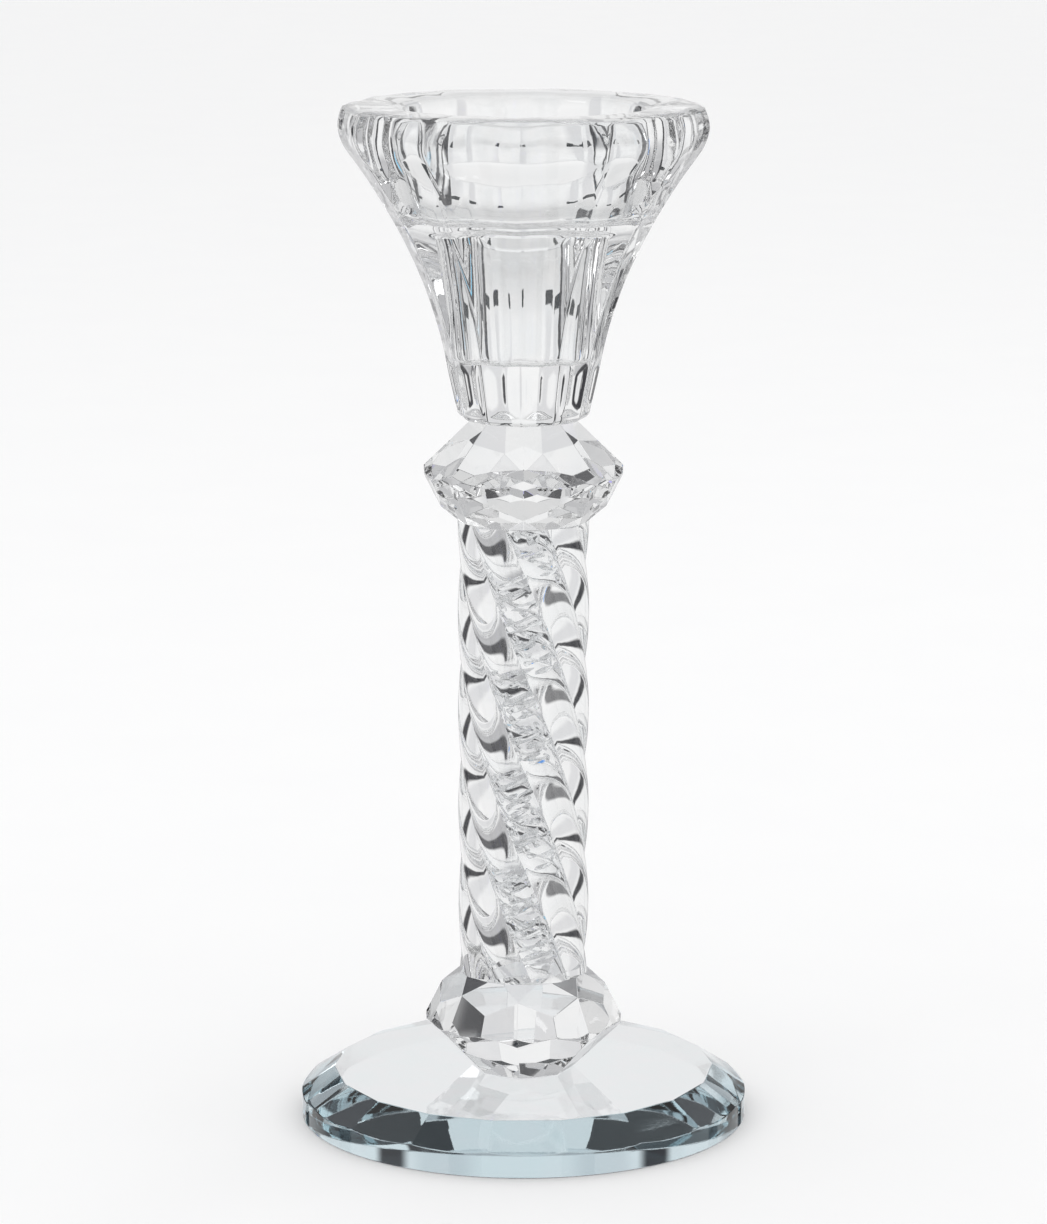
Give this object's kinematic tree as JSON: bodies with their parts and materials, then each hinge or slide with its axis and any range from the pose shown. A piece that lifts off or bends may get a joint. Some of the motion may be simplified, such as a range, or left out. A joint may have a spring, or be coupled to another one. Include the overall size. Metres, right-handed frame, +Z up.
{
  "type": "glass candlestick",
  "caption": "Clear glass candlestick with a round faceted base, cut knops, a twisted fluted stem filled with crushed crystal, and a panelled cup for a taper candle or tealight.",
  "frame": {"origin": "centre of the base's underside, on the surface the candlestick stands on", "axes": "+Z up along the candlestick's axis, out of the candle well; +X to the right as seen from the front, where the picture was taken from; -Y to the front"},
  "size_m": [0.0892, 0.0892, 0.2029],
  "materials": {
    "base_glass": "polished optical glass, faint cool tint",
    "cut_crystal": "polished cut crystal, sharp facets",
    "pressed_glass": "fire-polished pressed glass, slightly wavy",
    "crystal_chips": "crushed crystal, broken faces",
    "clear_adhesive": "cured clear adhesive film"
  },
  "bodies": {
    "root": {"base": "base_glass", "lower_knop": "cut_crystal", "stem_tube": "pressed_glass", "upper_knop": "cut_crystal", "candle_cup": "pressed_glass", "base_adhesive": "clear_adhesive", "stem_foot_adhesive": "clear_adhesive", "stem_top_adhesive": "clear_adhesive", "cup_adhesive": "clear_adhesive", "crystal_chips_01": "crystal_chips", "crystal_chips_02": "crystal_chips", "crystal_chips_03": "crystal_chips", "crystal_chips_04": "crystal_chips", "crystal_chips_05": "crystal_chips", "crystal_chips_06": "crystal_chips", "crystal_chips_07": "crystal_chips", "crystal_chips_08": "crystal_chips", "crystal_chips_09": "crystal_chips", "crystal_chips_10": "crystal_chips", "crystal_chips_11": "crystal_chips", "crystal_chips_12": "crystal_chips"}
  },
  "joints": []
}
